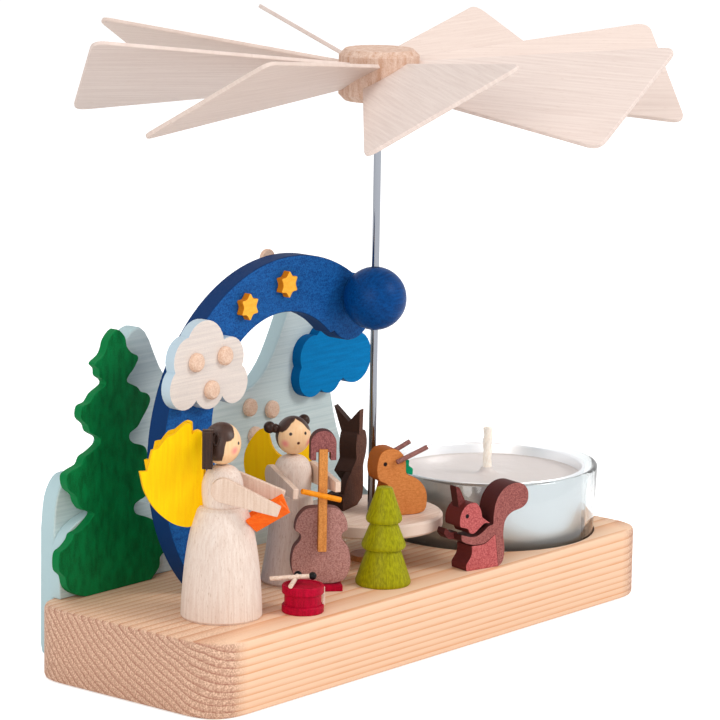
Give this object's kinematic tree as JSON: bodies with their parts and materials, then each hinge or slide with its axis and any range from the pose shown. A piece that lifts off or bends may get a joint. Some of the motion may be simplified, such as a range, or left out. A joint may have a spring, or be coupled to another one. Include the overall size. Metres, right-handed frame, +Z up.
{
  "type": "christmas pyramid",
  "caption": "Small wooden Christmas pyramid on a long pine board: a tealight's warm air turns a bladed fan and a turntable with rabbits, beside angel musicians, trees and a crescent arch.",
  "frame": {"origin": "where the spindle's axis meets the plane that the board stands on", "axes": "+Z up along the spindle, +X along the board's long front edge towards the candle, +Y to the back"},
  "size_m": [0.126, 0.1128, 0.1133],
  "materials": {
    "pine": "sanded, unpainted pine",
    "plain_wood": "sanded, unpainted lime or maple",
    "dowel_wood": "unpainted end grain",
    "face_wood": "turned and varnished",
    "glass": "clear, smooth",
    "aluminium": "drawn foil",
    "wax": "cast paraffin wax",
    "cotton": "braided wick",
    "steel": "polished steel rod",
    "brown_paint": "painted",
    "blue_paint": "painted, grain shows",
    "light_blue_paint": "painted",
    "snow_paint": "thinly painted, grain shows",
    "green_paint": "painted",
    "lime_paint": "stained",
    "amber_paint": "painted",
    "yellow_paint": "painted",
    "orange_paint": "painted",
    "red_paint": "painted",
    "dark_paint": "painted, satin",
    "mauve_stain": "stained",
    "orange_stain": "stained",
    "red_brown_stain": "stained",
    "dark_brown_stain": "stained"
  },
  "bodies": {
    "base": {"base_board": "pine", "bearing_socket": "brown_paint", "moon_arch": "blue_paint", "guide_ball": "blue_paint", "star_1": "amber_paint", "star_2": "amber_paint", "white_cloud": "plain_wood", "blue_cloud": "light_blue_paint", "cloud_peg_1": "dowel_wood", "cloud_peg_2": "dowel_wood", "cloud_peg_3": "dowel_wood", "snow_peg_1": "dowel_wood", "snow_peg_2": "dowel_wood", "snow_peg_3": "dowel_wood", "backdrop_panel": "snow_paint", "snow_hill": "snow_paint", "fir_tree": "green_paint", "arch_peg": "dowel_wood", "angel_1_body": "plain_wood", "angel_1_head": "face_wood", "angel_1_wings": "yellow_paint", "angel_1_arm_right": "plain_wood", "angel_1_arm_left": "plain_wood", "angel_1_ponytail": "dark_paint", "songbook": "orange_paint", "angel_2_body": "plain_wood", "angel_2_head": "face_wood", "angel_2_wings": "yellow_paint", "angel_2_arm_right": "plain_wood", "angel_2_arm_left": "plain_wood", "bass_body": "mauve_stain", "bass_neck": "orange_stain", "bass_foot": "red_paint", "bass_bow": "orange_paint", "drum": "red_paint", "drum_beaters": "plain_wood", "turned_tree": "lime_paint", "squirrel_body": "red_brown_stain", "squirrel_head": "red_brown_stain", "squirrel_tail": "red_brown_stain"},
    "spindle": {"spindle_shaft": "steel", "turntable": "plain_wood", "orange_rabbit": "orange_stain", "rabbit_ear_left": "mauve_stain", "rabbit_ear_right": "mauve_stain", "rabbit_scarf": "green_paint", "brown_rabbit": "dark_brown_stain"},
    "rotor": {"rotor_hub": "plain_wood", "blade_1": "plain_wood", "blade_2": "plain_wood", "blade_3": "plain_wood", "blade_4": "plain_wood", "blade_5": "plain_wood", "blade_6": "plain_wood", "blade_7": "plain_wood", "blade_8": "plain_wood"},
    "glass_cup": {"glass_cup": "glass"},
    "tealight": {"tealight_cup": "aluminium", "tealight_wax": "wax", "tealight_wick": "cotton"}
  },
  "joints": [
    {"name": "spindle_spin", "type": "hinge", "parent": "base", "child": "spindle", "pos_m": [0, 0, 0.0117], "axis": [0, 0, 1], "continuous": true},
    {"name": "rotor_lift", "type": "slide", "parent": "spindle", "child": "rotor", "axis": [0, 0, 1], "range_m": [0, 0.015]},
    {"name": "glass_lift", "type": "slide", "parent": "base", "child": "glass_cup", "axis": [0, 0, 1], "range_m": [0, 0.025]},
    {"name": "tealight_lift", "type": "slide", "parent": "glass_cup", "child": "tealight", "axis": [0, 0, 1], "range_m": [0, 0.03]}
  ]
}
